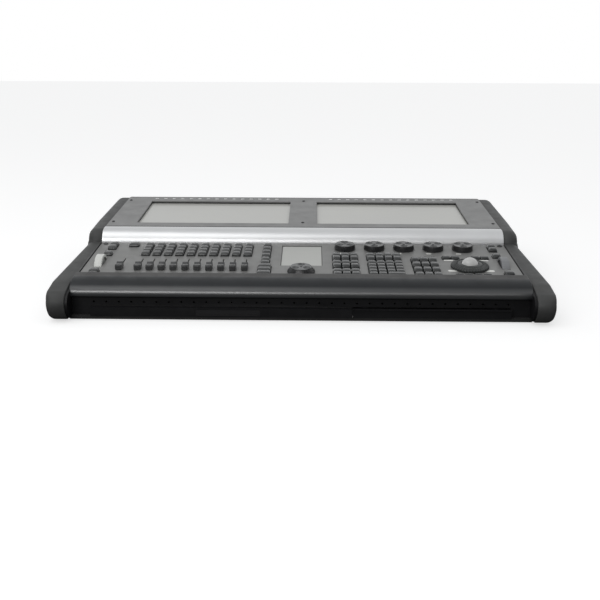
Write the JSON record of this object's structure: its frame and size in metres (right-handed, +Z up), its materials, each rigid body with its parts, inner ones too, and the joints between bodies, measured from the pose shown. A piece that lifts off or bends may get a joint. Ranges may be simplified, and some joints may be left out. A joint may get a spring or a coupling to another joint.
{
  "type": "lighting control desk",
  "caption": "Stage lighting control desk with faders, keys, encoders, wheels, trackball and a tilting twin-screen unit between moulded end cheeks.",
  "frame": {"origin": "on the table under the middle of the desk", "axes": "+X along the desk to the operator's right, +Y away from the operator, +Z up"},
  "size_m": [1.01, 0.7, 0.1426],
  "materials": {
    "case_steel": "satin",
    "cheek_plastic": "fine texture",
    "armrest_vinyl": "semi-gloss",
    "panel_paint": "satin paint",
    "foot_rubber": "matt",
    "display_glass": "glossy",
    "socket_plastic": "matt",
    "circuit_board": "satin",
    "plated_steel": "zinc plated",
    "lamp_plastic": "translucent",
    "wheel_grey": "satin",
    "silver_trim": "satin anodised",
    "screw_black": "satin",
    "knob_black": "satin",
    "ring_grey": "satin",
    "ball_pearl": "pearl",
    "key_plastic": "glossy"
  },
  "bodies": {
    "desk": {"base_pan": "case_steel", "left_cheek": "cheek_plastic", "right_cheek": "cheek_plastic", "armrest": "armrest_vinyl", "control_panel": "panel_paint", "front_panel": "case_steel", "rear_panel": "case_steel", "rear_deck": "case_steel", "rubber_feet": "foot_rubber", "menu_display": "display_glass", "optical_drive": "socket_plastic", "main_board": "circuit_board", "power_supply": "plated_steel", "key_boards": "circuit_board", "fader_modules": "plated_steel", "encoder_modules": "socket_plastic", "rear_sockets": "socket_plastic", "network_sockets": "socket_plastic", "mains_inlet": "socket_plastic", "lamp_sockets": "socket_plastic", "trackball_cup": "socket_plastic", "light_bars": "lamp_plastic", "steel_stands": "plated_steel", "drawer_rails": "plated_steel"},
    "screens": {"screen_shell": "cheek_plastic", "screen_bezel": "panel_paint", "left_screen": "display_glass", "right_screen": "display_glass", "step_trim": "silver_trim", "left_screen_cheek": "cheek_plastic", "right_screen_cheek": "cheek_plastic", "bezel_screws": "screw_black"},
    "drawer": {"keyboard_drawer": "case_steel", "keyboard": "key_plastic"},
    "grand_fader": {"grand_fader": "knob_black"},
    "fader_1": {"fader_1": "knob_black"},
    "fader_2": {"fader_2": "knob_black"},
    "fader_3": {"fader_3": "knob_black"},
    "fader_4": {"fader_4": "knob_black"},
    "fader_5": {"fader_5": "knob_black"},
    "fader_6": {"fader_6": "knob_black"},
    "fader_7": {"fader_7": "knob_black"},
    "fader_8": {"fader_8": "knob_black"},
    "fader_9": {"fader_9": "knob_black"},
    "fader_10": {"fader_10": "knob_black"},
    "encoder_1": {"encoder_1": "knob_black"},
    "encoder_2": {"encoder_2": "knob_black"},
    "encoder_3": {"encoder_3": "knob_black"},
    "encoder_4": {"encoder_4": "knob_black"},
    "encoder_5": {"encoder_5": "knob_black"},
    "menu_dial": {"menu_dial": "knob_black"},
    "left_wheel": {"left_wheel": "lamp_plastic"},
    "right_wheel": {"right_wheel": "wheel_grey"},
    "trackball": {"trackball": "ball_pearl"},
    "jog_ring": {"jog_ring": "ring_grey"},
    "playback_keys": {"playback_keys": "key_plastic"},
    "master_keys": {"master_keys": "key_plastic"},
    "number_keys": {"number_keys": "key_plastic"},
    "command_keys": {"command_keys": "key_plastic"},
    "side_keys": {"side_keys": "key_plastic"}
  },
  "joints": [
    {"name": "screen_tilt", "type": "hinge", "parent": "desk", "child": "screens", "pos_m": [0, 0.006, 0.0905], "axis": [1, 0, 0], "range_deg": [0, 60]},
    {"name": "drawer_slide", "type": "slide", "parent": "desk", "child": "drawer", "axis": [0, -1, 0], "range_m": [0, 0.14]},
    {"name": "grand_fader_slide", "type": "slide", "parent": "desk", "child": "grand_fader", "axis": [0, 0.9959, 0.0906], "range_m": [0, 0.06]},
    {"name": "fader_1_slide", "type": "slide", "parent": "desk", "child": "fader_1", "axis": [0, 0.9959, 0.0906], "range_m": [0, 0.06]},
    {"name": "fader_2_slide", "type": "slide", "parent": "desk", "child": "fader_2", "axis": [0, 0.9959, 0.0906], "range_m": [0, 0.06]},
    {"name": "fader_3_slide", "type": "slide", "parent": "desk", "child": "fader_3", "axis": [0, 0.9959, 0.0906], "range_m": [0, 0.06]},
    {"name": "fader_4_slide", "type": "slide", "parent": "desk", "child": "fader_4", "axis": [0, 0.9959, 0.0906], "range_m": [0, 0.06]},
    {"name": "fader_5_slide", "type": "slide", "parent": "desk", "child": "fader_5", "axis": [0, 0.9959, 0.0906], "range_m": [0, 0.06]},
    {"name": "fader_6_slide", "type": "slide", "parent": "desk", "child": "fader_6", "axis": [0, 0.9959, 0.0906], "range_m": [0, 0.06]},
    {"name": "fader_7_slide", "type": "slide", "parent": "desk", "child": "fader_7", "axis": [0, 0.9959, 0.0906], "range_m": [0, 0.06]},
    {"name": "fader_8_slide", "type": "slide", "parent": "desk", "child": "fader_8", "axis": [0, 0.9959, 0.0906], "range_m": [0, 0.06]},
    {"name": "fader_9_slide", "type": "slide", "parent": "desk", "child": "fader_9", "axis": [0, 0.9959, 0.0906], "range_m": [0, 0.06]},
    {"name": "fader_10_slide", "type": "slide", "parent": "desk", "child": "fader_10", "axis": [0, 0.9959, 0.0906], "range_m": [0, 0.06]},
    {"name": "encoder_1_turn", "type": "hinge", "parent": "desk", "child": "encoder_1", "pos_m": [0.0965, -0.06377, 0.09086], "axis": [0, -0.0906, 0.9959], "continuous": true},
    {"name": "encoder_2_turn", "type": "hinge", "parent": "desk", "child": "encoder_2", "pos_m": [0.1627, -0.06377, 0.09086], "axis": [0, -0.0906, 0.9959], "continuous": true},
    {"name": "encoder_3_turn", "type": "hinge", "parent": "desk", "child": "encoder_3", "pos_m": [0.2289, -0.06377, 0.09086], "axis": [0, -0.0906, 0.9959], "continuous": true},
    {"name": "encoder_4_turn", "type": "hinge", "parent": "desk", "child": "encoder_4", "pos_m": [0.2951, -0.06377, 0.09086], "axis": [0, -0.0906, 0.9959], "continuous": true},
    {"name": "encoder_5_turn", "type": "hinge", "parent": "desk", "child": "encoder_5", "pos_m": [0.3613, -0.06377, 0.09086], "axis": [0, -0.0906, 0.9959], "continuous": true},
    {"name": "menu_dial_turn", "type": "hinge", "parent": "desk", "child": "menu_dial", "pos_m": [0, -0.22211, 0.07645], "axis": [0, -0.0906, 0.9959], "continuous": true},
    {"name": "left_wheel_roll", "type": "hinge", "parent": "desk", "child": "left_wheel", "pos_m": [-0.434, -0.16045, 0.06097], "axis": [1, 0, 0], "continuous": true},
    {"name": "right_wheel_roll", "type": "hinge", "parent": "desk", "child": "right_wheel", "pos_m": [0.434, -0.16045, 0.06097], "axis": [1, 0, 0], "continuous": true},
    {"name": "trackball_roll", "type": "hinge", "parent": "desk", "child": "trackball", "pos_m": [0.358, -0.18345, 0.08198], "axis": [1, 0, 0], "continuous": true},
    {"name": "jog_ring_turn", "type": "hinge", "parent": "desk", "child": "jog_ring", "pos_m": [0.358, -0.18318, 0.07899], "axis": [0, -0.0906, 0.9959], "continuous": true},
    {"name": "playback_keys_press", "type": "slide", "parent": "desk", "child": "playback_keys", "axis": [0, 0.0906, -0.9959], "range_m": [0, 0.0015], "stiffness_N_per_m": 1500, "springref_m": -0.002},
    {"name": "master_keys_press", "type": "slide", "parent": "desk", "child": "master_keys", "axis": [0, 0.0906, -0.9959], "range_m": [0, 0.0015], "stiffness_N_per_m": 1500, "springref_m": -0.002},
    {"name": "number_keys_press", "type": "slide", "parent": "desk", "child": "number_keys", "axis": [0, 0.0906, -0.9959], "range_m": [0, 0.0015], "stiffness_N_per_m": 1500, "springref_m": -0.002},
    {"name": "command_keys_press", "type": "slide", "parent": "desk", "child": "command_keys", "axis": [0, 0.0906, -0.9959], "range_m": [0, 0.0015], "stiffness_N_per_m": 1500, "springref_m": -0.002},
    {"name": "side_keys_press", "type": "slide", "parent": "desk", "child": "side_keys", "axis": [0, 0.0906, -0.9959], "range_m": [0, 0.0015], "stiffness_N_per_m": 1500, "springref_m": -0.002}
  ]
}
